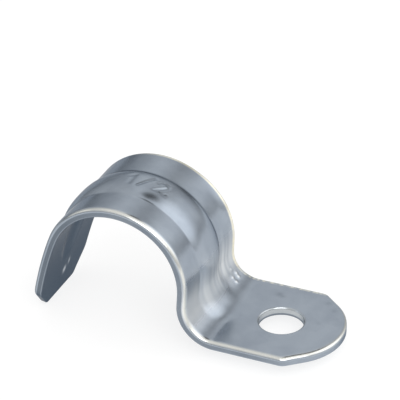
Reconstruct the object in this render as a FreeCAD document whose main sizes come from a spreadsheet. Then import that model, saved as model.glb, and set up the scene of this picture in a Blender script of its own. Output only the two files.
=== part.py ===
import FreeCAD, Part
import math
import os
import Sketcher

# One-hole strap for 1/2 inch steel conduit: a single strip of sheet steel, blanked, beaded and
# folded.  The saddle runs along Y over the conduit, the screw foot points to +X and the free leg
# hangs on the -X side.  Millimetres; the origin is the centre of the screw hole on the foot's
# underside, so the wall is the plane Z = 0 and the screw leaves along +Z.  The sketches are drawn
# from the point straight below the saddle's axis, and the body is then moved to the hole.

os.makedirs("parts", exist_ok=True)
doc = FreeCAD.newDocument("ConduitStrap")

# ---------------------------------------------------------------- driving dimensions
SIZES = [
    ("sheet_thickness", 1.3, "steel strip"),
    ("saddle_radius", 9.55, "inside of the saddle, a little over half the conduit"),
    ("saddle_height", 8.0, "saddle axis above the foot's underside"),
    ("grip_angle", 3.4, "how far the foot side leans back under the conduit, degrees"),
    ("bend_radius", 4.15, "upper face of the bend into the foot"),
    ("leg_splay", 22.5, "free leg from the vertical where it leaves the saddle, degrees"),
    ("leg_radius", 72.5, "long inward bow of the free leg, inner face"),
    ("leg_drop", 2.0, "leg tip below the foot's underside, taken up by the screw"),
    ("arch_width", 16.6, "strip over the conduit, drawn in a little by the bead"),
    ("foot_flare", 0.35, "how much wider the strip is at the foot, on each side"),
    ("waist_start", 8.0, "where the strip starts to widen to the foot, from the axis"),
    ("waist_end", 13.5, "where it has its full width"),
    ("foot_reach", 30.75, "tip of the foot from the axis"),
    ("nose_relief", 0.2, "round end of the foot, narrower than its sides by this on each side"),
    ("nose_lead", 2.8, "corners where the sides turn in, past the centre of the round end"),
    ("hole_diameter", 6.35, "quarter inch screw hole"),
    ("hole_reach", 21.6, "screw hole from the axis"),
    ("tip_width", 8.5, "end of the free leg"),
    ("tip_relief", 1.05, "how much narrower the leg is where its end chamfers start, each side"),
    ("tip_corner_height", 1.4, "that place above the foot's underside"),
    ("shoulder_drop", 0.65, "where the leg starts to narrow, below its joint with the saddle"),
    ("tip_round", 1.0, "corners of the leg's end"),
    ("bead_width", 6.6, "stiffening bead, raised outside and hollow inside"),
    ("bead_height", 0.5, "bead above the strip"),
    ("bead_bend_radius", 5.4, "crest of the bead where it turns into the foot"),
    ("bead_leg_radius", 34.0, "crest of the bead where it runs out down the leg"),
    ("bead_leg_end", 3.5, "lower end of the bead above the foot's underside"),
    ("bead_dip", 0.15, "how far both ends of the bead dive into the strip"),
    ("rim_round", 0.5, "rolled edge of the outer face"),
    ("burr_round", 0.12, "broken edge of the inner face"),
]

# Working clearances of the cutting sketches, not sizes of the part.
MARGIN = 2.0
BEAD_ROOT = 0.6

sizes = doc.addObject("Spreadsheet::Sheet", "Sizes")
for row, (alias, value, note) in enumerate(SIZES, start=1):
    sizes.set(f"A{row}", str(value))
    sizes.setAlias(f"A{row}", alias)
    sizes.set(f"B{row}", note)
doc.recompute()


def size(alias):
    """The number that the sheet holds under an alias."""
    return float(sizes.get(alias))


thickness = size("sheet_thickness")
radius = size("saddle_radius")
axis_height = size("saddle_height")
grip = math.radians(size("grip_angle"))
splay = math.radians(size("leg_splay"))


# ---------------------------------------------------------------- sketch helpers
body = doc.addObject("PartDesign::Body", "Strap")
body.Label = "conduit_strap"


def origin_plane(role):
    """One of the body's own origin planes, by its role."""
    return next(item for item in body.Origin.OriginFeatures if item.Role == role)


def new_sketch(name, role):
    """An empty sketch on one of the origin planes."""
    sketch = body.newObject("Sketcher::SketchObject", name)
    sketch.AttachmentSupport = [(origin_plane(role), "")]
    sketch.MapMode = "FlatFace"
    return sketch


def add_arc(sketch, centre, arc_radius, start, end):
    """A counter-clockwise arc; angles in radians.  Its points are 1 start, 2 end, 3 centre."""
    circle = Part.Circle(FreeCAD.Vector(*centre, 0), FreeCAD.Vector(0, 0, 1), arc_radius)
    return sketch.addGeometry(Part.ArcOfCircle(circle, start, end), False)


def add_line(sketch, start, end, construction=False):
    """A straight line between two points of the sketch."""
    segment = Part.LineSegment(FreeCAD.Vector(*start, 0), FreeCAD.Vector(*end, 0))
    return sketch.addGeometry(segment, construction)


def rule(sketch, kind, *items):
    """A geometric constraint, such as Tangent or Coincident."""
    return sketch.addConstraint(Sketcher.Constraint(kind, *items))


def dimension(sketch, name, kind, items, value, expression):
    """A named dimension, bound to the sheet."""
    index = sketch.addConstraint(Sketcher.Constraint(kind, *items, value))
    sketch.renameConstraint(index, name)
    sketch.setExpression(f"Constraints.{name}", expression)
    return index


def polar(centre, arc_radius, angle):
    """The point of a circle at an angle."""
    return (centre[0] + arc_radius * math.cos(angle), centre[1] + arc_radius * math.sin(angle))


def add_rectangle(sketch, name, low, high):
    """A plain frame round a cut.  It only has to be larger than the blank."""
    corners = [(low[0], low[1]), (high[0], low[1]), (high[0], high[1]), (low[0], high[1])]
    lines = []
    for index in range(4):
        lines.append(add_line(sketch, corners[index], corners[(index + 1) % 4]))
    for index in range(4):
        rule(sketch, "Coincident", lines[index], 2, lines[(index + 1) % 4], 1)
        rule(sketch, "Horizontal" if index % 2 == 0 else "Vertical", lines[index])
    for point, (x, y) in ((1, low), (2, high)):
        line = lines[0] if point == 1 else lines[1]
        for kind, value in (("DistanceX", x), ("DistanceY", y)):
            index = sketch.addConstraint(Sketcher.Constraint(kind, -1, 1, line, point, value))
            sketch.renameConstraint(index, f"{name}_{kind}_{point}")


# ---------------------------------------------------------------- the folded strip
# Every face of the strip is a chain leg - saddle - side - bend - foot.  A face that lies a
# distance out from the inner face has the same centres and radii larger or smaller by it.
def chain(sketch, out, leg_radius, bend_radius, foot_level, leg_end, foot_end=None):
    """Draws one chain with tangent joints and returns its pieces by name."""
    saddle = (0.0, axis_height)
    joint = math.pi - splay
    arch_radius = radius + out
    leg_centre = polar(saddle, -(leg_radius - arch_radius), joint)
    leg_stop = math.pi - math.asin((leg_end - leg_centre[1]) / leg_radius)
    bend_z = foot_level + bend_radius
    bend_x = (arch_radius + bend_radius + (bend_z - axis_height) * math.sin(grip)) / math.cos(grip)
    bend_centre = (bend_x, bend_z)
    pieces = {
        "leg": add_arc(sketch, leg_centre, leg_radius, joint, leg_stop),
        "saddle": add_arc(sketch, saddle, arch_radius, -grip, joint),
        "side": add_line(sketch, polar(bend_centre, bend_radius, math.pi - grip),
                         polar(saddle, arch_radius, -grip)),
        "bend": add_arc(sketch, bend_centre, bend_radius, math.pi - grip, 1.5 * math.pi),
    }
    rule(sketch, "Tangent", pieces["leg"], 1, pieces["saddle"], 2)
    rule(sketch, "Tangent", pieces["saddle"], 1, pieces["side"], 2)
    rule(sketch, "Tangent", pieces["side"], 1, pieces["bend"], 1)
    if foot_end is not None:
        pieces["foot"] = add_line(sketch, (bend_x, foot_level), (foot_end, foot_level))
        rule(sketch, "Tangent", pieces["bend"], 2, pieces["foot"], 1)
        rule(sketch, "Horizontal", pieces["foot"])
    return pieces


def place_saddle(sketch, pieces, out, out_text):
    """Pins a chain's saddle, the lean of its side and the angle at which its leg leaves."""
    saddle = pieces["saddle"]
    spoke = add_line(sketch, (0.0, axis_height),
                     polar((0.0, axis_height), radius + out, math.pi - splay), True)
    rule(sketch, "Coincident", spoke, 1, saddle, 3)
    rule(sketch, "Coincident", spoke, 2, saddle, 2)
    rule(sketch, "PointOnObject", saddle, 3, -2)
    dimension(sketch, "axis_height", "DistanceY", (-1, 1, saddle, 3), axis_height,
              "Sizes.saddle_height")
    dimension(sketch, "arch_radius", "Radius", (saddle,), radius + out,
              f"Sizes.saddle_radius + {out_text}")
    dimension(sketch, "joint_angle", "Angle", (spoke,), math.pi - splay,
              "180 deg - Sizes.leg_splay * 1 deg")
    dimension(sketch, "side_angle", "Angle", (pieces["side"],), math.pi / 2 - grip,
              "90 deg - Sizes.grip_angle * 1 deg")


blank_end = size("foot_reach") + MARGIN
section = new_sketch("StripSection", "XZ_Plane")
inner = chain(section, 0.0, size("leg_radius"), size("bend_radius") + thickness, 0.0,
              -size("leg_drop"), blank_end)
place_saddle(section, inner, 0.0, "0")
dimension(section, "leg_radius", "Radius", (inner["leg"],), size("leg_radius"), "Sizes.leg_radius")
dimension(section, "leg_drop", "DistanceY", (inner["leg"], 2, -1, 1), size("leg_drop"),
          "Sizes.leg_drop")
dimension(section, "under_bend", "Radius", (inner["bend"],), size("bend_radius") + thickness,
          "Sizes.bend_radius + Sizes.sheet_thickness")
rule(section, "PointOnObject", inner["foot"], 2, -1)
dimension(section, "blank_end", "DistanceX", (-1, 1, inner["foot"], 2), blank_end,
          f"Sizes.foot_reach + {MARGIN}")

leg_centre_z = axis_height - (size("leg_radius") - radius) * math.sin(splay)
tip_lean = (leg_centre_z + size("leg_drop")) / size("leg_radius")
outer_leg_end = -size("leg_drop") - thickness * tip_lean
outer = chain(section, thickness, size("leg_radius") + thickness, size("bend_radius"), thickness,
              outer_leg_end, blank_end)
rule(section, "Coincident", outer["leg"], 3, inner["leg"], 3)
rule(section, "Coincident", outer["saddle"], 3, inner["saddle"], 3)
rule(section, "Coincident", outer["bend"], 3, inner["bend"], 3)
rule(section, "Parallel", outer["side"], inner["side"])
dimension(section, "outer_radius", "Radius", (outer["saddle"],), radius + thickness,
          "Sizes.saddle_radius + Sizes.sheet_thickness")
tip_x = -radius - MARGIN
tip_line = add_line(section, (tip_x, -size("leg_drop")), (tip_x - thickness, outer_leg_end))
rule(section, "Coincident", tip_line, 1, inner["leg"], 2)
rule(section, "Coincident", tip_line, 2, outer["leg"], 2)
rule(section, "PointOnObject", inner["leg"], 3, tip_line)
end_line = add_line(section, (blank_end, 0.0), (blank_end, thickness))
rule(section, "Coincident", end_line, 1, inner["foot"], 2)
rule(section, "Coincident", end_line, 2, outer["foot"], 2)
rule(section, "Vertical", end_line)

blank = body.newObject("PartDesign::Pad", "Blank")
blank.Profile = section
blank.SideType = "Symmetric"
blank.setExpression("Length", f"Sizes.arch_width + 2 * Sizes.foot_flare + {2 * MARGIN}")


# ---------------------------------------------------------------- outline of the strip
# Both outlines are cut the same way: a frame larger than the blank, with the outline inside it.
def mirror_points(sketch, pairs):
    """Makes each pair of points symmetric about the sketch's first or second axis."""
    for (line, point), (twin, twin_point), axis in pairs:
        rule(sketch, "Symmetric", line, point, twin, twin_point, axis)


def half_width(sketch, name, line, point, along, value, expression):
    """Half of a width, measured from the strip's middle."""
    return dimension(sketch, name, along, (-1, 1, line, point), value, expression)


half_arch = size("arch_width") / 2
half_foot = half_arch + size("foot_flare")
nose_radius = half_foot - size("nose_relief")
nose_centre = size("foot_reach") - nose_radius
back_x = -(radius + thickness + 4 * MARGIN)
corner = (nose_centre + size("nose_lead"), half_foot)
corner_gap = math.dist(corner, (nose_centre, 0.0))
corner_angle = math.atan2(corner[1], corner[0] - nose_centre)
touch_angle = corner_angle - math.acos(nose_radius / corner_gap)
touch = polar((nose_centre, 0.0), nose_radius, touch_angle)

plan = new_sketch("PlanOutline", "XY_Plane")
upper = [(back_x, half_arch), (size("waist_start"), half_arch), (size("waist_end"), half_foot),
         corner, touch]
plan_lines = []
for side in (1, -1):
    points = [(x, side * y) for x, y in upper]
    lines = [add_line(plan, points[i], points[i + 1]) for i in range(4)]
    for first, second in zip(lines, lines[1:]):
        rule(plan, "Coincident", first, 2, second, 1)
    plan_lines.append(lines)
nose = add_arc(plan, (nose_centre, 0.0), nose_radius, -touch_angle, touch_angle)
back = add_line(plan, (back_x, half_arch), (back_x, -half_arch))
top, bottom = plan_lines
rule(plan, "Tangent", top[3], 2, nose, 2)
rule(plan, "Tangent", bottom[3], 2, nose, 1)
rule(plan, "Coincident", back, 1, top[0], 1)
rule(plan, "Coincident", back, 2, bottom[0], 1)
mirror_points(plan, [((top[i], 1), (bottom[i], 1), -1) for i in range(4)])
rule(plan, "Horizontal", top[0])
rule(plan, "Horizontal", top[2])
rule(plan, "PointOnObject", nose, 3, -1)
dimension(plan, "back", "DistanceX", (top[0], 1, -1, 1), -back_x,
          f"Sizes.saddle_radius + Sizes.sheet_thickness + {4 * MARGIN}")
half_width(plan, "half_arch", top[0], 1, "DistanceY", half_arch, "Sizes.arch_width / 2")
dimension(plan, "waist_start", "DistanceX", (-1, 1, top[1], 1), size("waist_start"),
          "Sizes.waist_start")
dimension(plan, "waist_end", "DistanceX", (-1, 1, top[2], 1), size("waist_end"),
          "Sizes.waist_end")
half_width(plan, "half_foot", top[2], 1, "DistanceY", half_foot,
           "Sizes.arch_width / 2 + Sizes.foot_flare")
dimension(plan, "nose_lead", "DistanceX", (nose, 3, top[3], 1), size("nose_lead"),
          "Sizes.nose_lead")
dimension(plan, "nose_radius", "Radius", (nose,), nose_radius,
          "Sizes.arch_width / 2 + Sizes.foot_flare - Sizes.nose_relief")
dimension(plan, "nose_centre", "DistanceX", (-1, 1, nose, 3), nose_centre,
          "Sizes.foot_reach - (Sizes.arch_width / 2 + Sizes.foot_flare - Sizes.nose_relief)")
frame_x = size("foot_reach") + 3 * MARGIN
frame_y = half_foot + 3 * MARGIN
add_rectangle(plan, "frame", (back_x - MARGIN, -frame_y), (frame_x, frame_y))

plan_cut = body.newObject("PartDesign::Pocket", "PlanCut")
plan_cut.Profile = plan
plan_cut.Type = "ThroughAll"
plan_cut.SideType = "Symmetric"

tip_z = -(size("leg_drop") + thickness + MARGIN)
half_tip = size("tip_width") / 2
half_corner = half_arch - size("tip_relief")
frame_z = axis_height + radius + thickness + 3 * MARGIN
shoulder_level = axis_height + radius * math.sin(splay) - size("shoulder_drop")
leg_rise = (-size("leg_drop"), size("tip_corner_height"), shoulder_level)
leg_points = [(half_tip, tip_z), (half_tip, leg_rise[0]), (half_corner, leg_rise[1]),
              (half_arch, leg_rise[2]), (frame_y - MARGIN, leg_rise[2] + MARGIN),
              (frame_y - MARGIN, frame_z - MARGIN)]

leg_outline = new_sketch("LegOutline", "YZ_Plane")
leg_lines = []
for side in (1, -1):
    points = [(side * y, z) for y, z in leg_points]
    lines = [add_line(leg_outline, points[i], points[i + 1]) for i in range(5)]
    for first, second in zip(lines, lines[1:]):
        rule(leg_outline, "Coincident", first, 2, second, 1)
    leg_lines.append(lines)
right, left = leg_lines
sill = add_line(leg_outline, (half_tip, tip_z), (-half_tip, tip_z))
lintel = add_line(leg_outline, leg_points[-1], (-leg_points[-1][0], leg_points[-1][1]))
rule(leg_outline, "Coincident", sill, 1, right[0], 1)
rule(leg_outline, "Coincident", sill, 2, left[0], 1)
rule(leg_outline, "Coincident", lintel, 1, right[4], 2)
rule(leg_outline, "Coincident", lintel, 2, left[4], 2)
mirror_points(leg_outline, [((right[i], 1), (left[i], 1), -2) for i in range(5)])
mirror_points(leg_outline, [((right[4], 2), (left[4], 2), -2)])
rule(leg_outline, "Vertical", right[0])
rule(leg_outline, "Vertical", right[4])
dimension(leg_outline, "sill", "DistanceY", (right[0], 1, -1, 1), -tip_z,
          f"Sizes.leg_drop + Sizes.sheet_thickness + {MARGIN}")
half_width(leg_outline, "half_tip", right[0], 1, "DistanceX", half_tip, "Sizes.tip_width / 2")
dimension(leg_outline, "tip_level", "DistanceY", (right[1], 1, -1, 1), size("leg_drop"),
          "Sizes.leg_drop")
half_width(leg_outline, "half_corner", right[2], 1, "DistanceX", half_corner,
           "Sizes.arch_width / 2 - Sizes.tip_relief")
dimension(leg_outline, "corner_level", "DistanceY", (-1, 1, right[2], 1),
          size("tip_corner_height"), "Sizes.tip_corner_height")
half_width(leg_outline, "half_shoulder", right[3], 1, "DistanceX", half_arch,
           "Sizes.arch_width / 2")
dimension(leg_outline, "shoulder_level", "DistanceY", (-1, 1, right[3], 1), shoulder_level,
          "Sizes.saddle_height + Sizes.saddle_radius * sin(Sizes.leg_splay * 1 deg)"
          " - Sizes.shoulder_drop")
half_width(leg_outline, "half_frame", right[4], 1, "DistanceX", frame_y - MARGIN,
           f"Sizes.arch_width / 2 + Sizes.foot_flare + {2 * MARGIN}")
dimension(leg_outline, "flare_level", "DistanceY", (right[3], 1, right[4], 1), MARGIN,
          f"{MARGIN}")
dimension(leg_outline, "lintel", "DistanceY", (-1, 1, right[4], 2), frame_z - MARGIN,
          "Sizes.saddle_height + Sizes.saddle_radius + Sizes.sheet_thickness"
          f" + {2 * MARGIN}")
add_rectangle(leg_outline, "frame", (-frame_y, tip_z - MARGIN), (frame_y, frame_z))

leg_cut = body.newObject("PartDesign::Pocket", "LegCut")
leg_cut.Profile = leg_outline
leg_cut.Type = "ThroughAll"

hole_sketch = new_sketch("HoleCircle", "XY_Plane")
hole_centre = FreeCAD.Vector(size("hole_reach"), 0, 0)
hole = hole_sketch.addGeometry(
    Part.Circle(hole_centre, FreeCAD.Vector(0, 0, 1), size("hole_diameter") / 2), False)
rule(hole_sketch, "PointOnObject", hole, 3, -1)
dimension(hole_sketch, "hole_reach", "DistanceX", (-1, 1, hole, 3), size("hole_reach"),
          "Sizes.hole_reach")
dimension(hole_sketch, "hole_diameter", "Diameter", (hole,), size("hole_diameter"),
          "Sizes.hole_diameter")
screw_hole = body.newObject("PartDesign::Pocket", "ScrewHole")
screw_hole.Profile = hole_sketch
screw_hole.Type = "ThroughAll"
screw_hole.SideType = "Symmetric"
doc.recompute()


# ---------------------------------------------------------------- rounded edges
bend_z = thickness + size("bend_radius")
bend_x = (radius + bend_z + (bend_z - axis_height) * math.sin(grip)) / math.cos(grip)
leg_centre = polar((0.0, axis_height), radius - size("leg_radius"), math.pi - splay)


def level_in_strip(point):
    """How far a point lies out from the strip's inner face."""
    bend_turn = math.pi - math.atan2(point.z - bend_z, point.x - bend_x) % (2 * math.pi)
    if point.x > bend_x:
        return point.z
    if point.x > 0 and point.z < bend_z and bend_turn < grip:
        return bend_z - math.dist((point.x, point.z), (bend_x, bend_z))
    angle = math.atan2(point.z - axis_height, point.x)
    if point.x < 0 and not 0 < angle < math.pi - splay:
        return math.dist((point.x, point.z), leg_centre) - size("leg_radius")
    if point.x > 0 and angle < -grip:
        lean = (math.cos(grip), -math.sin(grip))
        return point.x * lean[0] + (point.z - axis_height) * lean[1] - radius
    return math.dist((point.x, point.z), (0.0, axis_height)) - radius


def is_sharp(shape, edge):
    """True where two faces meet at an angle, false on a seam between tangent faces."""
    middle = edge.valueAt((edge.FirstParameter + edge.LastParameter) / 2)
    normals = []
    for face in shape.ancestorsOfType(edge, Part.Face):
        normals.append(face.normalAt(*face.Surface.parameter(middle)))
    return len(normals) == 2 and abs(normals[0].dot(normals[1])) < 0.7


def edges_at(shape, level, reach=0.02):
    """Names of the sharp edges that run along one face of the strip."""
    names = []
    for number, edge in enumerate(shape.Edges, start=1):
        middle = edge.valueAt((edge.FirstParameter + edge.LastParameter) / 2)
        points = [middle] + [vertex.Point for vertex in edge.Vertexes]
        if all(abs(level_in_strip(point) - level) < reach for point in points):
            if is_sharp(shape, edge):
                names.append(f"Edge{number}")
    return names


def tip_corners(shape):
    """Names of the two edges through the sheet at the corners of the leg's end."""
    names = []
    for number, edge in enumerate(shape.Edges, start=1):
        middle = edge.valueAt((edge.FirstParameter + edge.LastParameter) / 2)
        through = abs(level_in_strip(middle) - thickness / 2) < thickness / 10
        if through and abs(middle.z + size("leg_drop")) < thickness / 2:
            names.append(f"Edge{number}")
    return names


def round_off(name, base, names, alias):
    """A fillet of the edges with a radius from the sheet."""
    fillet = body.newObject("PartDesign::Fillet", name)
    fillet.Base = (base, names)
    fillet.setExpression("Radius", f"Sizes.{alias}")
    doc.recompute()
    return fillet


tip_rounds = round_off("TipRounds", screw_hole, tip_corners(screw_hole.Shape), "tip_round")
outer_rim = round_off("OuterRim", tip_rounds, edges_at(tip_rounds.Shape, thickness), "rim_round")
inner_rim = round_off("InnerRim", outer_rim, edges_at(outer_rim.Shape, 0.0), "burr_round")


# ---------------------------------------------------------------- stiffening bead
# The bead is pressed outward from below: a ridge on the outer face and the same shape, one sheet
# lower, as a groove in the inner face.  Its crest keeps its height over the conduit, cuts the
# corner of the bend on a larger radius, and dives into the strip at both ends.
half_bead = size("bead_width") / 2
bead_curve = (half_bead ** 2 + size("bead_height") ** 2) / (2 * size("bead_height"))
bead_depth = size("bead_height") + BEAD_ROOT
BEAD_CURVE = ("((Sizes.bead_width / 2) ^ 2 + Sizes.bead_height ^ 2)"
              " / (2 * Sizes.bead_height)")


def bead_sweep(name, kind, out, out_text):
    """Sweeps the bead's section; out is how far it lies out from the groove's own place."""
    crest = size("bead_height") + out
    path = new_sketch(name + "Path", "XZ_Plane")
    leg_bend = size("bead_leg_radius") + out
    foot_bend = size("bead_bend_radius") + thickness - out
    foot_level = out - size("bead_dip")
    pieces = chain(path, crest, leg_bend, foot_bend, foot_level, size("bead_leg_end"))
    place_saddle(path, pieces, crest, f"Sizes.bead_height + {out_text}")
    dimension(path, "leg_bend", "Radius", (pieces["leg"],), leg_bend,
              f"Sizes.bead_leg_radius + {out_text}")
    dimension(path, "leg_end", "DistanceY", (-1, 1, pieces["leg"], 2), size("bead_leg_end"),
              "Sizes.bead_leg_end")
    dimension(path, "foot_bend", "Radius", (pieces["bend"],), foot_bend,
              f"Sizes.bead_bend_radius + Sizes.sheet_thickness - ({out_text})")
    rule(path, "Vertical", pieces["bend"], 2, pieces["bend"], 3)
    dimension(path, "bend_level", "DistanceY", (-1, 1, pieces["bend"], 3),
              foot_level + foot_bend,
              "Sizes.bead_bend_radius + Sizes.sheet_thickness - Sizes.bead_dip")
    foot_x = path.addConstraint(Sketcher.Constraint("DistanceX", -1, 1, pieces["bend"], 2, 1.0))
    path.setDriving(foot_x, False)
    path.renameConstraint(foot_x, "foot_x")
    doc.recompute()

    profile = new_sketch(name + "Section", "YZ_Plane")
    profile.setExpression(".AttachmentOffset.Base.z", f"{name}Path.Constraints.foot_x")
    centre = (0.0, foot_level - bead_curve)
    spread = math.acos(1 - bead_depth / bead_curve)
    arc = add_arc(profile, centre, bead_curve, math.pi / 2 - spread, math.pi / 2 + spread)
    root = add_line(profile, polar(centre, bead_curve, math.pi / 2 + spread),
                    polar(centre, bead_curve, math.pi / 2 - spread))
    rule(profile, "Coincident", arc, 2, root, 1)
    rule(profile, "Coincident", root, 2, arc, 1)
    rule(profile, "Horizontal", root)
    rule(profile, "PointOnObject", arc, 3, -2)
    dimension(profile, "bead_curve", "Radius", (arc,), bead_curve, BEAD_CURVE)
    dimension(profile, "centre_level", "DistanceY", (arc, 3, -1, 1), -centre[1],
              f"{BEAD_CURVE} + Sizes.bead_dip - ({out_text})")
    dimension(profile, "root_depth", "DistanceY", (arc, 3, root, 1), bead_curve - bead_depth,
              f"{BEAD_CURVE} - Sizes.bead_height - {BEAD_ROOT}")
    doc.recompute()

    sweep = body.newObject(kind, name)
    sweep.Profile = profile
    sweep.Spine = (path, [])
    doc.recompute()
    return sweep


ridge = bead_sweep("Ridge", "PartDesign::AdditivePipe", thickness, "Sizes.sheet_thickness")
groove = bead_sweep("Groove", "PartDesign::SubtractivePipe", 0.0, "0")
body.setExpression(".Placement.Base.x", "-Sizes.hole_reach")
doc.recompute()


# ---------------------------------------------------------------- checks and export
for item in doc.Objects:
    if "Invalid" in item.State or "Error" in item.State:
        raise RuntimeError(f"{item.Name} failed: {item.State}")
    if item.TypeId == "Sketcher::SketchObject" and not item.FullyConstrained:
        raise RuntimeError(f"{item.Name} is not fully constrained")

steps = [blank, plan_cut, leg_cut, screw_hole, tip_rounds, outer_rim, inner_rim, ridge, groove]
for earlier, later in zip(steps, steps[1:]):
    added = later.Shape.Volume - earlier.Shape.Volume
    if (added > 0) != (later is ridge) or abs(added) < 1e-3:
        raise RuntimeError(f"{later.Name} changed the volume by {added:.3f} mm3")

strap = body.Shape
if strap.isNull() or not strap.isValid() or len(strap.Solids) != 1:
    raise RuntimeError("the strap is not one valid solid")
print(f"strap {strap.Volume:.1f} mm3, before the bead {inner_rim.Shape.Volume:.1f} mm3")
strap.exportStep(f"parts/{body.Label}.step")
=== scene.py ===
import math

import bpy
import numpy as np
from mathutils import Matrix, Vector


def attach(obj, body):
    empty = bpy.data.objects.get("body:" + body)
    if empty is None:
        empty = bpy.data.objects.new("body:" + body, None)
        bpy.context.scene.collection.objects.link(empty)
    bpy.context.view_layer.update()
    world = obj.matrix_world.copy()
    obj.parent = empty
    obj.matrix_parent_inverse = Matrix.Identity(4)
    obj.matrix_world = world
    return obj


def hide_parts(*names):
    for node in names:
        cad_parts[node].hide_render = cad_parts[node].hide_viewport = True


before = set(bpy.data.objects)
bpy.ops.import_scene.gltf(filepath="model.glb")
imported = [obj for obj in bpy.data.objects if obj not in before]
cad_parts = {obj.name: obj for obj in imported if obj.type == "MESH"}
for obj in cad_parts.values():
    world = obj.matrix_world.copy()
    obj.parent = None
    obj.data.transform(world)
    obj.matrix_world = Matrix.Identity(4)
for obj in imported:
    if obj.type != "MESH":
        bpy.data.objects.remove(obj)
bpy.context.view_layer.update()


# ------------------------------------------------------------------ the folded strip
# One strip of sheet steel, blanked and then folded round a former: a free leg, the saddle over
# the conduit, a short side that leans back under it, a bend, and the flat foot with its screw
# hole.  Places on the strip are given as s along it, from the leg's end, v across and a level.
SHEET = 1.3  # mm, as every size here
SADDLE_RADIUS = 9.55
SADDLE_HEIGHT = 8.0
GRIP = math.radians(3.4)  # lean of the side
SPLAY = math.radians(22.5)  # free leg from the vertical, at the saddle
LEG_RADIUS = 72.5  # long bow of the free leg, inner face
LEG_DROP = 2.0  # leg's end below the foot's underside
BEND_RADIUS = 4.15  # upper face of the bend into the foot
FOOT_REACH = 30.74  # from the saddle's axis
HOLE_REACH = 21.6
HALF_SHEET = SHEET / 2


def turn(centre, radius, angle):
    """The point of a circle at an angle, as x and z."""
    return centre[0] + radius * np.cos(angle), centre[1] + radius * np.sin(angle)


joint = math.pi - SPLAY
saddle_centre = (0.0, SADDLE_HEIGHT)
leg_centre = turn(saddle_centre, SADDLE_RADIUS - LEG_RADIUS, joint)
leg_stop = math.pi - math.asin((-LEG_DROP - leg_centre[1]) / LEG_RADIUS)
under_bend = BEND_RADIUS + SHEET
bend_x = SADDLE_RADIUS + under_bend + (under_bend - SADDLE_HEIGHT) * math.sin(GRIP)
bend_centre = (bend_x / math.cos(GRIP), under_bend)
side_drop = SADDLE_HEIGHT - under_bend - (SADDLE_RADIUS + under_bend) * math.sin(GRIP)

# Lengths of leg, saddle, side, bend and foot along the middle of the sheet, and where each ends.
spans = np.array([
    (leg_stop - joint) * (LEG_RADIUS + HALF_SHEET),
    (joint + GRIP) * (SADDLE_RADIUS + HALF_SHEET),
    side_drop / math.cos(GRIP),
    (math.pi / 2 + GRIP) * (BEND_RADIUS + HALF_SHEET),
    FOOT_REACH - bend_centre[0],
])
ends = np.cumsum(spans)
strip_length = ends[-1]


def fold(s, v, level):
    """Places points of the strip in space.  In each span the point lies on the span's circle, or
    line, at the distance s along the middle of the sheet, and stands out along the normal there
    by its level above the inner face; v goes straight across."""
    leg_turn = leg_stop - s / (LEG_RADIUS + HALF_SHEET)
    saddle_turn = joint - (s - ends[0]) / (SADDLE_RADIUS + HALF_SHEET)
    side_start = turn(saddle_centre, SADDLE_RADIUS + level, -GRIP)
    bend_turn = math.pi - GRIP + (s - ends[2]) / (BEND_RADIUS + HALF_SHEET)
    down = (-math.sin(GRIP), -math.cos(GRIP))
    shapes = [
        turn(leg_centre, LEG_RADIUS + level, leg_turn),
        turn(saddle_centre, SADDLE_RADIUS + level, saddle_turn),
        (side_start[0] + (s - ends[1]) * down[0], side_start[1] + (s - ends[1]) * down[1]),
        turn(bend_centre, under_bend - level, bend_turn),
        (bend_centre[0] + s - ends[3], level),
    ]
    here = [s < ends[0], s < ends[1], s < ends[2], s < ends[3]]
    x = np.select(here, [shape[0] for shape in shapes[:4]], shapes[4][0])
    z = np.select(here, [shape[1] for shape in shapes[:4]], shapes[4][1])
    return np.stack([x - HOLE_REACH, v, z], -1) * 0.001


def unfold(x, z):
    """The opposite of fold for one section: s and the level above the inner face.  The angle
    about a span's centre gives s, and the distance from that centre gives the level."""
    about_leg = np.arctan2(z - leg_centre[1], x - leg_centre[0])
    about_saddle = np.arctan2(z - SADDLE_HEIGHT, x)
    about_bend = np.arctan2(z - bend_centre[1], x - bend_centre[0]) % (2 * math.pi)
    down_side = -(x * math.sin(GRIP) + (z - SADDLE_HEIGHT) * math.cos(GRIP))
    here = [
        (x < 0) & (about_leg > joint),
        about_saddle > -GRIP,
        about_bend < math.pi - GRIP,
        x < bend_centre[0],
    ]
    s = np.select(here, [
        (leg_stop - about_leg) * (LEG_RADIUS + HALF_SHEET),
        ends[0] + (joint - about_saddle) * (SADDLE_RADIUS + HALF_SHEET),
        ends[1] + down_side,
        ends[2] + (about_bend - math.pi + GRIP) * (BEND_RADIUS + HALF_SHEET),
    ], ends[3] + x - bend_centre[0])
    level = np.select(here, [
        np.hypot(x - leg_centre[0], z - leg_centre[1]) - LEG_RADIUS,
        np.hypot(x, z - SADDLE_HEIGHT) - SADDLE_RADIUS,
        x * math.cos(GRIP) - (z - SADDLE_HEIGHT) * math.sin(GRIP) - SADDLE_RADIUS,
        under_bend - np.hypot(x - bend_centre[0], z - bend_centre[1]),
    ], z)
    return s, level


# ------------------------------------------------------------------ the stiffening bead
# A shallow round bead is pressed outward along the middle of the strip, over the saddle and
# through both bends.  It cuts the corner of the foot bend on a larger radius and dies away at
# both ends.  Its two creases aren't quite parallel: it is narrower over the back of the saddle.
BEAD_HEIGHT = 0.5
BEAD_BEND = 4.7
BEAD_LEG = 34.0
BEAD_LEG_END = 3.5
BEAD_DIP = 0.15
CREASE = 3.45  # from the strip's middle
FAR_CREASE_LEG = 2.5  # the far crease, at the leg's end of the saddle
BEAD_FULLNESS = 3.0  # 2 is a plain parabola; more is flatter on top and steeper at the creases
BEAD_SINK = 0.25  # past the crest's end, for each mm squared
# How far the creases are softened, and where: at the saddle's end, in the bend and at the foot.
CREASE_SOFTNESS = (0.02, 0.09, 0.2)
SOFTNESS_PLACES = ends[1:4] + np.array([0.0, 2.5, -0.5])

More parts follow.
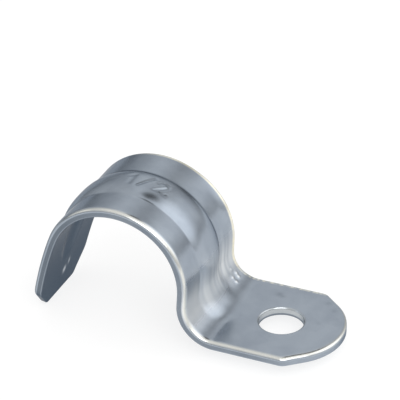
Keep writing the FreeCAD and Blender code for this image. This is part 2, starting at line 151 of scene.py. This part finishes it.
crest = SADDLE_RADIUS + SHEET + BEAD_HEIGHT
run_out_centre = turn(saddle_centre, crest - BEAD_LEG - SHEET, joint)
run_out_stop = math.pi - math.asin((BEAD_LEG_END - run_out_centre[1]) / (BEAD_LEG + SHEET))
foot_end_z = SHEET - BEAD_DIP + BEAD_BEND
foot_end_x = crest + BEAD_BEND + (foot_end_z - SADDLE_HEIGHT) * math.sin(GRIP)
foot_end = (foot_end_x / math.cos(GRIP), foot_end_z)
crest_line = np.hstack([
    turn(run_out_centre, BEAD_LEG + SHEET, np.linspace(run_out_stop, joint, 60, endpoint=False)),
    turn(saddle_centre, crest, np.linspace(joint, -GRIP, 60)),
    turn(foot_end, BEAD_BEND, np.linspace(math.pi - GRIP, 1.5 * math.pi, 60)),
])
crest_s, crest_level = unfold(*crest_line)


def creases(s):
    """Where the bead's far and near creases lie across the strip."""
    return np.interp(s, [ends[0], ends[1]], [FAR_CREASE_LEG, CREASE]), -CREASE


def bead(s, v):
    """Height of the bead above the strip: the height of its crest there, less a drop that grows
    as a power of the distance from the bead's middle, and never below nothing.  That limit is
    softened a little at the creases, and more where the bead runs out into the foot.  Past its
    crest's end the bead sinks as a parabola."""
    top = np.interp(s, crest_s, crest_level - SHEET, left=-1.0)
    top = top - BEAD_SINK * np.clip(s - crest_s[-1], 0, None) ** 2
    far, near = creases(s)
    across = np.abs(v - (far + near) / 2) * 2 / (far - near)
    drop = BEAD_HEIGHT * across ** BEAD_FULLNESS
    ease = np.interp(s, SOFTNESS_PLACES, CREASE_SOFTNESS)
    return ease * np.logaddexp(0.0, (top - drop) / ease)


# ------------------------------------------------------------------ stamped size and tool marks
# The size is struck into the crown of the bead with a blunt punch.  A worn spot of the forming
# tool leaves five small pimples in the far side of the foot bend.
STROKE = 0.26  # half the width of a stroke
STRUCK = 0.11  # depth of the figures
figures = [
    [(25.35, 0.75), (25.85, 1.3), (25.85, -1.15)],
    [(27.0, -1.25), (28.45, 1.45)],
    [(29.3, 0.7), (29.45, 1.12), (29.95, 1.32), (30.45, 1.12), (30.6, 0.65), (30.3, 0.1),
     (29.3, -1.1), (30.75, -1.1)],
]
PIMPLES = np.array([(47.5, 6.4), (48.7, 7.0), (48.7, 5.7), (49.35, 6.8), (49.6, 5.6)])
PIMPLE_HEIGHT = 0.09
PIMPLE_RADIUS = 0.26


def stroke_distance(s, v, start, end):
    """Distance of points from a straight stroke: from the nearest point of it, which is the foot
    of the perpendicular, kept between the stroke's ends."""
    run = np.subtract(end, start)
    part = ((s - start[0]) * run[0] + (v - start[1]) * run[1]) / (run @ run)
    part = np.clip(part, 0, 1)
    return np.hypot(s - start[0] - part * run[0], v - start[1] - part * run[1])


def marks(s, v):
    """How far a point is into a stroke and onto a pimple, each from 0 to 1: a bell curve of its
    distance from the nearest stroke, and a sum of bell curves round the pimples."""
    nearest = np.full(s.shape, 9.0)
    for path in figures:
        for start, end in zip(path, path[1:]):
            nearest = np.minimum(nearest, stroke_distance(s, v, start, end))
    away = np.hypot(s[:, None] - PIMPLES[:, 0], v[:, None] - PIMPLES[:, 1])
    return np.exp(-(nearest / STROKE) ** 2), np.exp(-(away / PIMPLE_RADIUS) ** 2).sum(1)


# ------------------------------------------------------------------ blank, edges and screw hole
# The blank is cut from the strip: full width over the saddle, a little wider at the foot, with a
# round nose, and tapered with cut corners at the leg's end.  The cut has rolled the near edge
# well over and the far one little, and the edges of the punched hole are only broken.
ARCH_HALF = 8.3
FOOT_HALF = 8.65
NOSE_RADIUS = 8.45
NOSE_LEAD = 2.8
TIP_HALF = 4.25
TIP_CORNER_HALF = 7.25
TIP_CORNER_HEIGHT = 1.4
SHOULDER_HEIGHT = 11.0
WAIST = (8.0, 13.5)
HOLE_RADIUS = 3.175
RIM_WIDTH = 0.8
RIM_DROP = 0.5
FAR_SHARE = 0.3  # size of the far edge's roll beside the near one's
BURR = 0.14  # broken edge of the inner face
FLARE = 0.28  # outward spring of the far edge
FLARE_START = 6.3  # across the strip
FLARE_WIDTH = 2.0
FLARE_SPAN = (32, 38, 45, 49)  # s where it begins, is full, starts to fade and is gone
FIGURES_SPAN = (24.8, 31.4)  # s of the struck figures
HOLE_EDGE = 0.28
WALL_LEVELS = np.array([0.7, 0.2])
SPACING = 0.23  # between points of the outline


def rounded(points, radii, step):
    """A path through points, each corner replaced by an arc that touches both its sides, with
    samples at about one step along the straights."""
    pieces = [points[:1]]
    for before, corner, after, radius in zip(points, points[1:], points[2:], radii):
        back = (before - corner) / np.linalg.norm(before - corner)
        ahead = (after - corner) / np.linalg.norm(after - corner)
        half = math.acos(np.clip(back @ ahead, -1, 1)) / 2
        middle = (back + ahead) / np.linalg.norm(back + ahead)
        centre = corner + middle * radius / math.sin(half)
        spread = np.linspace(-1, 1, 9)[:, None] * (math.pi / 2 - half)
        side = ahead - (ahead @ middle) * middle
        side /= np.linalg.norm(side)
        arc = centre + radius * (np.sin(spread) * side - np.cos(spread) * middle)
        start = pieces[-1][-1]
        count = max(2, int(np.linalg.norm(arc[0] - start) / step))
        straight = start + (arc[0] - start) * np.linspace(0, 1, count, endpoint=False)[1:, None]
        pieces += [straight, arc]
    start = pieces[-1][-1]
    count = max(2, int(np.linalg.norm(points[-1] - start) / step))
    pieces.append(start + (points[-1] - start) * np.linspace(0, 1, count + 1)[1:, None])
    return np.vstack(pieces)


def along(x, z):
    """s of a point of the section."""
    return float(unfold(np.array(x), np.array(z))[0])


def leg_level(z):
    """s of the place on the leg at a level."""
    angle = math.pi - math.asin((z - leg_centre[1]) / (LEG_RADIUS + HALF_SHEET))
    return (leg_stop - angle) * (LEG_RADIUS + HALF_SHEET)


hole_s = ends[3] + HOLE_REACH - bend_centre[0]
nose_s = strip_length - NOSE_RADIUS
waist_turn = math.acos(WAIST[0] / (SADDLE_RADIUS + HALF_SHEET))
waist_s = along(*turn(saddle_centre, SADDLE_RADIUS + HALF_SHEET, waist_turn))
wide_turn = math.pi + math.acos((bend_centre[0] - WAIST[1]) / (BEND_RADIUS + HALF_SHEET))
wide_s = along(*turn(bend_centre, BEND_RADIUS + HALF_SHEET, wide_turn))
lead = np.array([NOSE_LEAD, FOOT_HALF])
touch = math.atan2(lead[1], lead[0]) - math.acos(NOSE_RADIUS / np.linalg.norm(lead))
nose_arc = np.stack(turn((nose_s, 0.0), NOSE_RADIUS, np.linspace(touch, 0, 40)), -1)
corners = np.array([
    (0.0, 0.0), (0.0, TIP_HALF), (leg_level(TIP_CORNER_HEIGHT), TIP_CORNER_HALF),
    (leg_level(SHOULDER_HEIGHT), ARCH_HALF), (waist_s, ARCH_HALF), (wide_s, FOOT_HALF),
    (nose_s + NOSE_LEAD, FOOT_HALF), nose_arc[0],
])
# Radii at both ends of the leg's cut corner, at the shoulder, at both ends of the widening
# towards the foot, and at the corner before the nose.
corner_radii = (1.05, 2.5, 8.0, 14.0, 14.0, 1.6)
half_outline = np.vstack([rounded(corners, corner_radii, SPACING), nose_arc[1:]])
# The points lie twice as close where the figures are struck.
struck_s = half_outline[:-1, 0]
fine = np.flatnonzero((struck_s > FIGURES_SPAN[0]) & (struck_s < FIGURES_SPAN[1]))
halfway = (half_outline[fine] + half_outline[fine + 1]) / 2
half_outline = np.insert(half_outline, fine + 1, halfway, axis=0)
mirrored = half_outline[-2:0:-1] * [1, -1]
outline = np.vstack([half_outline, mirrored])
ahead = np.roll(outline, -1, 0) - np.roll(outline, 1, 0)
outward = np.stack([-ahead[:, 1], ahead[:, 0]], -1)
outward /= np.linalg.norm(outward, axis=1)[:, None]

# Every point of the outline looks inward to a point of the seam: the middle line of the strip
# from inside the leg's end to the hole, and from there the hole's own circle.
SEAM_START = 4.0  # s of the line's start, inside the leg's end
FAN_START = hole_s - 6.5  # s of the outline where its points begin to look at the circle
numbers = np.arange(len(outline))
nose_number = len(half_outline) - 1
fan_number = int(np.argmax(half_outline[:, 0] > FAN_START))
from_nose = np.abs(numbers - nose_number) / (nose_number - fan_number)
on_ring = from_nose <= 1
side_of = np.where(numbers <= nose_number, 1.0, -1.0)


def seam(radius):
    """The seam, with the hole's circle at a radius: the outline's numbers are spread evenly round
    the circle, and its lengths evenly along the line."""
    bearing = math.pi * np.clip(from_nose, 0, 1)
    ring = np.stack([radius * np.cos(bearing), radius * np.sin(bearing) * side_of], -1)
    reach = (outline[:, 0] - SEAM_START) / (half_outline[fan_number, 0] - SEAM_START)
    stop = hole_s - radius
    line_s = SEAM_START + np.clip(reach, 0, 1) * (stop - SEAM_START)
    line = np.stack([line_s, np.zeros(len(outline))], -1)
    return np.where(on_ring[:, None], ring + [hole_s, 0.0], line)


def face_rows(outer, inner, count, level):
    """Rows from the seam to an inset outline, evenly between the two.  Each point holds s, v, its
    level and its painted edge sheen or shade, which is none here."""
    part = np.linspace(0, 1, count)[:, None, None]
    flat = inner + (outer - inner) * part
    return np.concatenate([flat, np.full_like(flat, [level, 0.0])], -1)


def edge_rows(base, away, insets, levels, edge_sheen_and_shade=0.0):
    """Rows round an edge of the sheet: each is the base line moved by an inset, at a level that
    may differ along it.  The last number paints sheen where it is above nothing and shade where
    it is below."""
    flat = base + away * insets[:, None, None]
    levels = levels.reshape(len(insets), -1)
    edge_sheen_and_shade = (edge_sheen_and_shade + np.zeros(len(insets)))[:, None]
    rest = np.stack(np.broadcast_arrays(levels, edge_sheen_and_shade), -1)
    return np.concatenate([flat, np.broadcast_to(rest, flat.shape)], -1)


OUTER_ROWS = 60
INNER_ROWS = 44
roll = np.linspace(0, math.pi / 2, 12)
broken = np.linspace(0, math.pi / 2, 4)
hole_roll = np.linspace(0, math.pi / 2, 8)
rolled_over = np.interp(outline[:, 1], [-3.0, 6.0], [1.0, FAR_SHARE])
rim = outward * RIM_WIDTH * rolled_over[:, None]
# Across the rolled edge the last number paints a highlight, strongest midway round the roll, and on
# the sheared wall it paints shade.
rows = np.concatenate([
    face_rows(outline - rim, seam(HOLE_RADIUS + HOLE_EDGE), OUTER_ROWS, SHEET),
    edge_rows(outline, -rim, 1 - np.sin(roll[1:]),
              SHEET - RIM_DROP * (1 - np.cos(roll[1:, None])) * rolled_over,
              np.sin(2 * roll[1:]) ** 3),
    edge_rows(outline, -outward, np.zeros(2), WALL_LEVELS, -0.8),
    edge_rows(outline, -outward, BURR * (1 - np.cos(broken)), BURR * (1 - np.sin(broken))),
    face_rows(outline - outward * BURR, seam(HOLE_RADIUS + BURR), INNER_ROWS, 0.0)[-2::-1],
])
ring_line = seam(HOLE_RADIUS)[on_ring]
ring_out = (ring_line - [hole_s, 0.0]) / HOLE_RADIUS
# Round the hole the last number paints shade on the burr and the lower wall, and a highlight on the
# upper wall and the broken top edge.
hole_rows = np.concatenate([
    edge_rows(ring_line, ring_out, BURR * (1 - np.sin(broken)), BURR * (1 - np.cos(broken)), -1.0),
    edge_rows(ring_line, ring_out, np.zeros(2), np.array([0.3, 0.45]), np.array([-1.0, 0.3])),
    edge_rows(ring_line, ring_out, HOLE_EDGE * (1 - np.cos(hole_roll)),
              SHEET - HOLE_EDGE * (1 - np.sin(hole_roll)), 0.4 * np.cos(hole_roll)),
])


def net(count_rows, count_columns, first, closed):
    """Four-sided faces between neighbouring rows and columns of a net of points."""
    j = np.arange(count_rows - 1)[:, None] * count_columns
    i = np.arange(count_columns if closed else count_columns - 1)
    following = (i + 1) % count_columns
    faces = np.stack([j + i, j + following, j + count_columns + following,
                      j + count_columns + i], -1)
    return faces.reshape(-1, 4) + first


def weld(points, faces):
    """Joins points that share a place and drops the faces' doubled corners, so that the seam and
    its starting point are closed: a face with a doubled corner becomes a triangle."""
    _, kept, joined = np.unique(np.round(points[:, :3], 5), axis=0, return_index=True,
                                return_inverse=True)
    faces = joined.reshape(-1)[faces]
    doubled = faces == np.roll(faces, -1, axis=1)
    whole = faces[~doubled.any(1)]
    single = doubled.sum(1) == 1
    first = np.argmax(doubled[single], 1)
    turned = (first[:, None] + np.arange(1, 4)) % 4
    return points[kept], whole, np.take_along_axis(faces[single], turned, 1)


points = np.concatenate([rows.reshape(-1, 4), hole_rows.reshape(-1, 4)])
faces = np.concatenate([
    net(*rows.shape[:2], 0, True),
    net(*hole_rows.shape[:2], rows.shape[0] * rows.shape[1], False),
])
points, quads, triangles = weld(points, faces)
s, v, level, edge_sheen_and_shade = points.T
strap_mesh = bpy.data.meshes.new("strap")
outer_face = np.clip((level - 0.7) / 0.3, 0, 1)
struck, pimpled = marks(s, v)
# The far edge springs outward a little over the side of the saddle.
flare = FLARE * np.clip((v - FLARE_START) / FLARE_WIDTH, 0, 1) ** 2
flare = flare * np.interp(s, FLARE_SPAN, [0, 1, 1, 0])
raised = level + bead(s, v) + flare
raised += (PIMPLE_HEIGHT * pimpled - STRUCK * struck) * outer_face
strap_mesh.from_pydata(fold(s, v, raised), [], quads.tolist() + triangles.tolist())
strap_mesh.shade_smooth()
strap = bpy.data.objects.new("strap", strap_mesh)
bpy.context.collection.objects.link(strap)


# ------------------------------------------------------------------ bright zinc plating
# Thin bright zinc, electroplated over pressed steel and then passivated clear blue.  It has a
# satin gloss with a faint cold tint, cloudy at a few millimetres, and is brighter where rubbed.
# Its colour also carries painted highlights and painted shade.
def linear(text):
    """The linear colour of an sRGB hex value."""
    parts = np.array([int(text[i:i + 2], 16) / 255 for i in (1, 3, 5)])
    straight = np.where(parts <= 0.04045, parts / 12.92, ((parts + 0.055) / 1.055) ** 2.4)
    return (*straight, 1.0)


def node(tree, kind, settings=(), **links):
    """Adds a node to a tree.  Settings are its own properties, links its inputs by name with
    underscores for spaces: each a value or another node's output."""
    made = tree.nodes.new(kind)
    for key, value in dict(settings).items():
        setattr(made, key, value)
    for key, value in links.items():
        target = made.inputs[key.replace("_", " ")]
        if isinstance(value, bpy.types.NodeSocket):
            tree.links.new(value, target)
        else:
            target.default_value = value
    return made


def paint(name, values):
    """Keeps one number for each point of the strap's mesh, for the finish to read."""
    strap_mesh.attributes.new(name, "FLOAT", "POINT").data.foreach_set("value", values)


# Painted shade darkens the inside of the fold, the sheared edge walls, the lower wall of the hole
# and the rolled edge along the leg, and a thin painted shadow lies along the far crease.  The
# struck figures are a little darker.  Painted highlights brighten the rolled edges, the hole's
# upper edge and streaks through the bend into the foot, and tumbling burnishes the pimples.
painted_fold_shade = 0.85 * np.clip(1 - level / 0.2, 0, 1) * np.clip((ends[3] - s) / 4, 0, 1)
# Painted shade on the sheared edge walls and inside the hole, darkest on the leg and faint at the
# nose.
painted_wall_shade = np.interp(s, [18.0, 26.0, 60.0, 64.0], [1.0, 0.7, 0.6, 0.15]) * np.clip(-edge_sheen_and_shade, 0, 1)
# Painted shade on the rolled edge along the leg.
painted_leg_edge_shade = np.interp(s, [14.0, 23.0], [0.6, 0.0]) * np.clip(edge_sheen_and_shade, 0, 1)
far_crease = creases(s)[0]
# A thin painted shadow along the far crease, strongest on the leg's side of the saddle and gone by
# the bend.
painted_crease_shade = np.interp(s, [24.0, 31.0, ends[2]], [0.75, 0.35, 0.0])
painted_crease_shade *= np.exp(-((v - far_crease) / 0.24) ** 2) * outer_face
# The struck figures are a little darker.
darker_figures = 0.2 * struck * outer_face
# Water stains on the foot: s, v, radius and strength.
stains = np.array([(56.6, 6.0, 0.5, 0.3), (57.3, 5.6, 0.4, 0.25), (63.9, 6.4, 0.5, 0.2),
                   (65.3, 4.9, 0.35, 0.2), (64.3, 1.2, 0.3, 0.15)])
spots = stains[:, 3] * np.exp(-((s[:, None] - stains[:, 0]) ** 2 + (v[:, None] - stains[:, 1]) ** 2)
                              / stains[:, 2] ** 2)
spots = spots.sum(1) * outer_face
# Two nicks inside the leg's end show bright metal.
nicks = np.exp(-np.hypot((s - 3.6) / 0.55, (v - 0.1) / 0.4) ** 2)
nicks += 0.7 * np.exp(-np.hypot((s - 4.5) / 0.5, (v - 1.3) / 0.25) ** 2)
nicks *= np.clip(1 - level / 0.2, 0, 1)
# Painted highlights streak the bend: the streaks run along the strip, half a millimetre apart, and
# are even by the near edge.  A painted glint lies along the far edge, nearly even beside the saddle
# and in specks along the foot.
formed = np.exp(-((s - 45.0) / 3.1) ** 2) * outer_face
random = np.random.default_rng(5)
painted_streaks = np.interp(v, np.linspace(-9, 9, 37), random.uniform(0.35, 1.0, 37))
painted_streaks = np.maximum(painted_streaks, np.interp(v, [-5.0, -2.5], [1.0, 0.5]))
glint_specks = np.interp(s, np.linspace(0, 70, 280), random.uniform(-0.3, 1.0, 280).clip(0.0))
glint_specks = np.interp(s, [22.0, 30.0, 46.0, 52.0, 62.0, 64.0], [0.0, 1.0, 1.0, 0.7, 0.7, 0.0]) * (
    np.interp(s, [46.0, 52.0], [0.35, 1.0]) * glint_specks + np.interp(s, [46.0, 52.0], [0.65, 0.0]))
# A painted cream glint on the far rim of the outer face.
painted_far_glint = np.clip((v - np.interp(s, [46.0, 53.0], [7.75, 8.1])) / 0.2, 0, 1) * glint_specks * (level > 0.7)
paint("dull", np.maximum.reduce([
    painted_fold_shade * (1 - nicks), painted_wall_shade, painted_leg_edge_shade, painted_crease_shade, darker_figures, spots]))
# A painted highlight on the rolled edges and the hole's upper edge, faint along the leg.
painted_edge_highlight = np.interp(s, [19.0, 26.0], [0.05, 0.62]) * np.clip(edge_sheen_and_shade, 0, 1)
paint("wear_and_painted_highlight", np.maximum.reduce([formed * painted_streaks, painted_edge_highlight, 0.85 * painted_far_glint, nicks,
                                      0.8 * pimpled * outer_face]))
paint("formed", formed)
paint("painted_cream_glint", np.maximum(painted_far_glint, 0.5 * painted_edge_highlight))

zinc = bpy.data.materials.new("bright zinc plating")
zinc.use_nodes = True
tree = zinc.node_tree
shader = tree.nodes["Principled BSDF"]
shader.inputs["Metallic"].default_value = 0.9
# The edge tint is set so that faces seen at a grazing angle don't turn white.
shader.inputs["Specular Tint"].default_value = linear("#9AA0A8")
place = node(tree, "ShaderNodeTexCoord").outputs["Object"]
# Plating clouds a few millimetres across.
cloud = node(tree, "ShaderNodeTexNoise", Vector=place, Scale=1 / 0.004, Detail=3.0, Roughness=0.55)
tint = node(tree, "ShaderNodeValToRGB", Fac=cloud.outputs["Fac"])
tint.color_ramp.elements[0].position = 0.32
tint.color_ramp.elements[0].color = linear("#99A2AD")
tint.color_ramp.elements[1].position = 0.68
tint.color_ramp.elements[1].color = linear("#A7B0BA")
# Inputs 6 and 7 of a colour mix are its two colours, and output 2 is the mix.
# The dull colour darkens the water stains and the struck figures, and paints shade.
shade_and_stains = node(tree, "ShaderNodeAttribute", {"attribute_name": "dull"}).outputs["Fac"]
dull = node(tree, "ShaderNodeMix", {"data_type": "RGBA"})
tree.links.new(shade_and_stains, dull.inputs["Factor"])
tree.links.new(tint.outputs["Color"], dull.inputs[6])
dull.inputs[7].default_value = linear("#5A636D")
# The bright colour is bare metal at the nicks and pimples, and elsewhere a painted highlight.
wear_and_painted_highlight = node(tree, "ShaderNodeAttribute", {"attribute_name": "wear_and_painted_highlight"}).outputs["Fac"]
bright = node(tree, "ShaderNodeMix", {"data_type": "RGBA"})
tree.links.new(wear_and_painted_highlight, bright.inputs["Factor"])
tree.links.new(dull.outputs[2], bright.inputs[6])
bright.inputs[7].default_value = linear("#F0F2F2")
# A painted warm glint: a cream colour along the rolled edges, the hole's upper edge and the far
# rim.
cream_glint_share = node(tree, "ShaderNodeAttribute", {"attribute_name": "painted_cream_glint"}).outputs["Fac"]
cream = node(tree, "ShaderNodeMix", {"data_type": "RGBA"})
tree.links.new(cream_glint_share, cream.inputs["Factor"])
tree.links.new(bright.outputs[2], cream.inputs[6])
cream.inputs[7].default_value = linear("#F8F2DA")
tree.links.new(cream.outputs[2], shader.inputs["Base Color"])
gloss = node(tree, "ShaderNodeMapRange", Value=cloud.outputs["Fac"], From_Min=0.3, From_Max=0.7,
             To_Min=0.18, To_Max=0.24)
formed_there = node(tree, "ShaderNodeAttribute", {"attribute_name": "formed"}).outputs["Fac"]
rough = node(tree, "ShaderNodeMath", {"operation": "MULTIPLY_ADD"})
tree.links.new(formed_there, rough.inputs[0])
rough.inputs[1].default_value = 0.3
tree.links.new(gloss.outputs["Result"], rough.inputs[2])
tree.links.new(rough.outputs["Value"], shader.inputs["Roughness"])
# Pressed sheet is never quite even: low waves over a millimetre apart, microns high.
skin = node(tree, "ShaderNodeTexNoise", Vector=place, Scale=1 / 0.0016, Detail=1.0, Roughness=0.4)
uneven = node(tree, "ShaderNodeBump", Height=skin.outputs["Fac"], Strength=0.25, Distance=0.00002)
tree.links.new(uneven.outputs["Normal"], shader.inputs["Normal"])
strap_mesh.materials.append(zinc)
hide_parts("conduit_strap")
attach(strap, "root")


# ------------------------------------------------------------------ studio
# A white sweep in a pale room.  A large soft box stands high on the right in front, and a
# smaller warm one low on the left.
floor_mesh = bpy.data.meshes.new("floor")
FLOOR_Z = -LEG_DROP * 0.001
floor_mesh.from_pydata([(x, y, FLOOR_Z) for x, y in ((-20, -20), (20, -20), (20, 20), (-20, 20))],
                       [], [(0, 1, 2, 3)])
floor = bpy.data.objects.new("floor", floor_mesh)
bpy.context.collection.objects.link(floor)
sweep = bpy.data.materials.new("white sweep")
sweep.use_nodes = True
tree = sweep.node_tree
tree.nodes.clear()
path = node(tree, "ShaderNodeLightPath")
seen = node(tree, "ShaderNodeMath", {"operation": "ADD", "use_clamp": True})
seen_through = node(tree, "ShaderNodeMath", {"operation": "ADD", "use_clamp": True})
tree.links.new(path.outputs["Is Camera Ray"], seen.inputs[0])
tree.links.new(path.outputs["Is Glossy Ray"], seen.inputs[1])
tree.links.new(seen.outputs["Value"], seen_through.inputs[0])
tree.links.new(path.outputs["Is Transmission Ray"], seen_through.inputs[1])
# Where it is seen, nearly three quarters of the white is the sweep's own, and the rest keeps the
# shadow.
share = node(tree, "ShaderNodeMath", {"operation": "MULTIPLY"})
tree.links.new(seen_through.outputs["Value"], share.inputs[0])
share.inputs[1].default_value = 0.72
dull = node(tree, "ShaderNodeBsdfDiffuse", Color=(0.9, 0.9, 0.9, 1.0))
glow = node(tree, "ShaderNodeEmission", Color=(1.0, 1.0, 1.0, 1.0), Strength=1.08)
both = node(tree, "ShaderNodeMixShader", Fac=share.outputs["Value"])
tree.links.new(dull.outputs["BSDF"], both.inputs[1])
tree.links.new(glow.outputs["Emission"], both.inputs[2])
# From below the sweep is clear, so that the strap's underside can be looked at.
clear = node(tree, "ShaderNodeBsdfTransparent")
below = node(tree, "ShaderNodeNewGeometry").outputs["Backfacing"]
one_way = node(tree, "ShaderNodeMixShader", Fac=below)
tree.links.new(both.outputs["Shader"], one_way.inputs[1])
tree.links.new(clear.outputs["BSDF"], one_way.inputs[2])
node(tree, "ShaderNodeOutputMaterial", Surface=one_way.outputs["Shader"])
floor_mesh.materials.append(sweep)

# The room is a light tent: paler with height, with a bright panel on the right towards the back,
# a small dark opening overhead and a darker seam low at the back.
world = bpy.data.worlds.new("light tent")
bpy.context.scene.world = world
world.use_nodes = True
tree = world.node_tree
tree.nodes.clear()
way = node(tree, "ShaderNodeTexCoord").outputs["Generated"]
parts = node(tree, "ShaderNodeSeparateXYZ", Vector=way)
turned = node(tree, "ShaderNodeMath", {"operation": "ARCTAN2"})
tree.links.new(parts.outputs["X"], turned.inputs[0])
tree.links.new(parts.outputs["Y"], turned.inputs[1])
# Brightness by height and by bearing.  Each ramp holds half of it, so their product is a
# quarter.
tones = []
for value, low, high, stops in (
        (parts.outputs["Z"], -1, 1, [
            (-0.9, 0.5), (-0.05, 0.52), (0.1, 0.6), (0.28, 0.95), (0.75, 1.05), (0.9, 1.25)]),
        (turned.outputs["Value"], -math.pi, math.pi, [
            (-2.5, 0.9), (-1.0, 0.85), (-0.6, 0.9), (-0.34, 1.25), (-0.12, 1.0), (0.08, 0.6),
            (0.28, 0.78), (0.5, 1.05), (0.8, 1.0), (1.2, 1.25), (2.2, 1.0)])):
    part = node(tree, "ShaderNodeMapRange", Value=value, From_Min=low, From_Max=high)
    ramp = node(tree, "ShaderNodeValToRGB", Fac=part.outputs["Result"])
    for at, brightness in stops:
        stop = ramp.color_ramp.elements.new((at - low) / (high - low))
        stop.color = (brightness / 2, brightness / 2, brightness / 2, 1)
    ramp.color_ramp.elements.remove(ramp.color_ramp.elements[0])
    ramp.color_ramp.elements.remove(ramp.color_ramp.elements[-1])
    tones.append(ramp.outputs["Color"])
tent = node(tree, "ShaderNodeMath", {"operation": "MULTIPLY"})
tree.links.new(tones[0], tent.inputs[0])
tree.links.new(tones[1], tent.inputs[1])
light = tent.outputs["Value"]
# Each patch of the tent: where it lies, the angles from there at which it is full and gone, and
# how much it adds, brought to a quarter like the product above.
for aim, inner, outer, change in (
        ((0.72, 0.36, 0.60), 8, 38, 1.2), ((0.08, 0.39, 0.91), 7, 15, -1.15),
        ((0.05, 0.99, 0.08), 2, 9, -0.35)):
    near = node(tree, "ShaderNodeVectorMath", {"operation": "DOT_PRODUCT"})
    tree.links.new(way, near.inputs[0])
    near.inputs[1].default_value = Vector(aim).normalized()
    share = node(tree, "ShaderNodeMapRange", {"interpolation_type": "SMOOTHSTEP"},
                 Value=near.outputs["Value"], From_Min=math.cos(math.radians(outer)),
                 From_Max=math.cos(math.radians(inner)), To_Max=change / 4)
    total = node(tree, "ShaderNodeMath", {"operation": "ADD"})
    tree.links.new(light, total.inputs[0])
    tree.links.new(share.outputs["Result"], total.inputs[1])
    light = total.outputs["Value"]
room = node(tree, "ShaderNodeBackground", Color=light, Strength=2.9)
# Seen straight, the tent is white cloth, and the metal shows a little of that white too.
white = node(tree, "ShaderNodeBackground", Color=(1.0, 1.0, 1.0, 1.0), Strength=1.0)
path = node(tree, "ShaderNodeLightPath")
mirrored_ray = node(tree, "ShaderNodeMath", {"operation": "ADD", "use_clamp": True})
tree.links.new(path.outputs["Is Glossy Ray"], mirrored_ray.inputs[0])
tree.links.new(path.outputs["Is Transmission Ray"], mirrored_ray.inputs[1])
seen = node(tree, "ShaderNodeMath", {"operation": "MULTIPLY_ADD", "use_clamp": True})
tree.links.new(mirrored_ray.outputs["Value"], seen.inputs[0])
seen.inputs[1].default_value = 0.1
tree.links.new(path.outputs["Is Camera Ray"], seen.inputs[2])
cloth = node(tree, "ShaderNodeMixShader", Fac=seen.outputs["Value"])
tree.links.new(room.outputs["Background"], cloth.inputs[1])
tree.links.new(white.outputs["Background"], cloth.inputs[2])
node(tree, "ShaderNodeOutputWorld", Surface=cloth.outputs["Shader"])


def soft_box(name, azimuth, elevation, distance, width, height, glow, colour):
    """A rectangular lamp that faces the object.  Its direction is an azimuth from the front,
    towards the right, and an elevation, and its power gives its face the brightness glow."""
    lamp = bpy.data.lights.new(name, "AREA")
    lamp.shape = "RECTANGLE"
    lamp.size = width
    lamp.size_y = height
    lamp.energy = math.pi * width * height * glow
    lamp.color = linear(colour)[:3]
    box = bpy.data.objects.new(name, lamp)
    bpy.context.collection.objects.link(box)
    turned, raised = math.radians(azimuth), math.radians(elevation)
    way = Vector((math.sin(turned) * math.cos(raised), -math.cos(turned) * math.cos(raised),
                  math.sin(raised)))
    box.location = way * distance
    box.rotation_euler = way.to_track_quat("Z", "Y").to_euler()


soft_box("key", 30, 44, 0.6, 0.5, 0.4, 2.9, "#FFFFFF")
soft_box("left", -80, 25, 0.6, 0.15, 0.3, 0.9, "#FFF6DC")

# A long lens looks from the front, a little to the right and some 30 degrees above.
camera_data = bpy.data.cameras.new("camera")
camera_data.sensor_width = 36
camera_data.lens = 193.6
camera_data.clip_start = 0.01
camera = bpy.data.objects.new("camera", camera_data)
bpy.context.collection.objects.link(camera)
DISTANCE = 0.3004
target = Vector((-0.01402, 0.00433, 0.01525))
sight = Vector((0.34697, -0.78236, 0.51722)).normalized()
right = Vector((0.91730, 0.39797, -0.01338)).normalized()
up = sight.cross(right)
facing = Matrix((right, up, sight)).transposed().to_4x4()
camera.matrix_world = Matrix.Translation(target + sight * DISTANCE) @ facing
bpy.context.scene.camera = camera
bpy.context.scene.view_settings.view_transform = "Standard"
